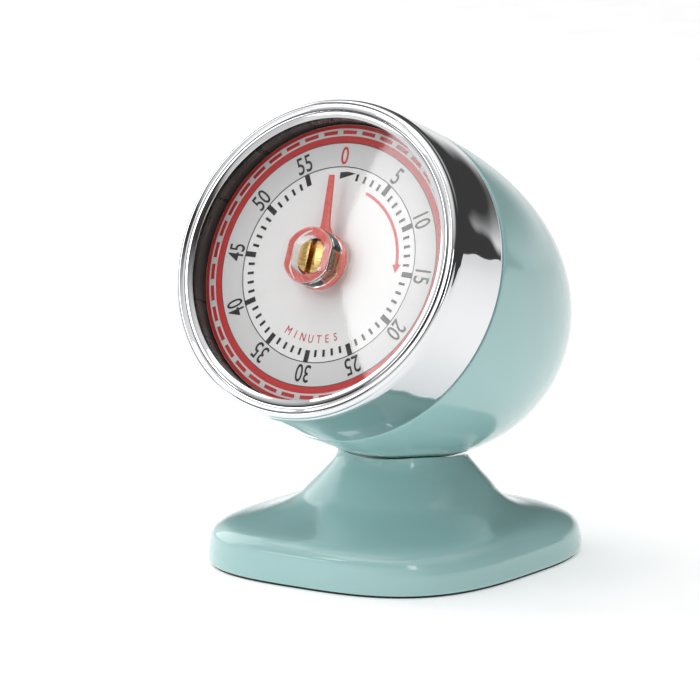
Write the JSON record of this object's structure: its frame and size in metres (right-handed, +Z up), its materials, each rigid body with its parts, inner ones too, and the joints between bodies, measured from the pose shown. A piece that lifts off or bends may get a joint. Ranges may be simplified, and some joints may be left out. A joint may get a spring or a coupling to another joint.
{
  "type": "kitchen timer",
  "caption": "Wind-up kitchen timer: a round dial under a clear lens in a chrome bezel, on a tilted egg-shaped head with a flared rounded-square stand.",
  "frame": {"origin": "middle of the foot pad's underside, on the surface that the timer stands on", "axes": "+Z up; the dial faces -Y and tilts back, and +X is to the right of a person facing the dial"},
  "size_m": [0.0692, 0.0854, 0.0993],
  "materials": {
    "mint_enamel": "glossy",
    "chrome": "polished",
    "clear_plastic": "clear",
    "pointer_red": "satin",
    "dial_print": "matte",
    "black_enamel": "satin",
    "black_plastic": "matte",
    "black_rubber": "matte",
    "brass": "satin",
    "steel": "brushed",
    "bell_nickel": "polished"
  },
  "bodies": {
    "root": {"head_shell": "mint_enamel", "stand_body": "mint_enamel", "dial_plate": "dial_print", "dial_drum": "black_enamel", "base_plate": "black_plastic", "foot_pad": "black_rubber", "front_plate": "brass", "back_plate": "brass", "neck_bolt": "steel", "neck_washer": "steel", "neck_nut": "steel", "bell_bracket": "steel", "bell_post": "steel", "bell_screw": "steel", "mainspring": "steel", "pillar_1": "steel", "pillar_2": "steel", "pillar_3": "steel", "pillar_4": "steel", "pillar_nut_1": "steel", "pillar_nut_2": "steel", "pillar_nut_3": "steel", "pillar_nut_4": "steel", "movement_screw_1": "steel", "movement_screw_2": "steel", "movement_screw_3": "steel", "bracket_screw_1": "steel", "bracket_screw_2": "steel", "base_screw_1": "steel", "base_screw_2": "steel", "base_screw_3": "steel", "base_screw_4": "steel", "bell": "bell_nickel"},
    "setting_dial": {"chrome_bezel": "chrome", "lens": "clear_plastic", "lens_ring": "black_plastic", "pointer": "pointer_red", "main_arbor": "brass", "stop_cam": "steel", "great_wheel": "brass"},
    "second_set": {"second_arbor": "steel", "second_wheel": "brass"},
    "third_set": {"third_arbor": "steel", "third_wheel": "brass"},
    "escape_set": {"escape_arbor": "steel", "escape_wheel": "brass"},
    "strike_set": {"strike_arbor": "steel", "strike_wheel": "brass"},
    "balance": {"pallet_anchor": "steel", "balance_wheel": "brass"},
    "hammer": {"hammer_arm": "steel", "hammer_head": "brass"},
    "stop_lever": {"stop_lever": "steel"}
  },
  "joints": [
    {"name": "dial_turn", "type": "hinge", "parent": "root", "child": "setting_dial", "pos_m": [0, -0.0131, 0.0613], "axis": [0, 0.9157, -0.4019], "range_deg": [0, 330]},
    {"name": "second_turn", "type": "hinge", "parent": "root", "child": "second_set", "pos_m": [-0.01114, -0.01624, 0.05416], "axis": [0, 0.9157, -0.4019], "range_deg": [-2475, 0]},
    {"name": "third_turn", "type": "hinge", "parent": "root", "child": "third_set", "pos_m": [-0.01365, -0.01185, 0.06415], "axis": [0, 0.9157, -0.4019], "range_deg": [0, 17325]},
    {"name": "escape_turn", "type": "hinge", "parent": "root", "child": "escape_set", "pos_m": [-0.01234, -0.00794, 0.07305], "axis": [0, 0.9157, -0.4019], "range_deg": [-103950, 0]},
    {"name": "strike_turn", "type": "hinge", "parent": "root", "child": "strike_set", "pos_m": [0.01278, -0.01497, 0.05704], "axis": [0, 0.9157, -0.4019], "range_deg": [-2475, 0]},
    {"name": "balance_swing", "type": "hinge", "parent": "root", "child": "balance", "pos_m": [-0.0035, -0.00607, 0.07732], "axis": [0, -0.9157, 0.4019], "range_deg": [-4, 4]},
    {"name": "hammer_swing", "type": "hinge", "parent": "root", "child": "hammer", "pos_m": [0.0165, -0.01853, 0.04894], "axis": [0, -0.9157, 0.4019], "range_deg": [-5, 4]},
    {"name": "stop_lever_lift", "type": "hinge", "parent": "root", "child": "stop_lever", "pos_m": [0.009, -0.00767, 0.07366], "axis": [0, -0.9157, 0.4019], "range_deg": [0, 4]}
  ],
  "couplings": [
    {"joint": "second_turn", "follows": "dial_turn", "ratio": -7.5},
    {"joint": "third_turn", "follows": "dial_turn", "ratio": 52.5},
    {"joint": "escape_turn", "follows": "dial_turn", "ratio": -315},
    {"joint": "strike_turn", "follows": "dial_turn", "ratio": -7.5}
  ]
}
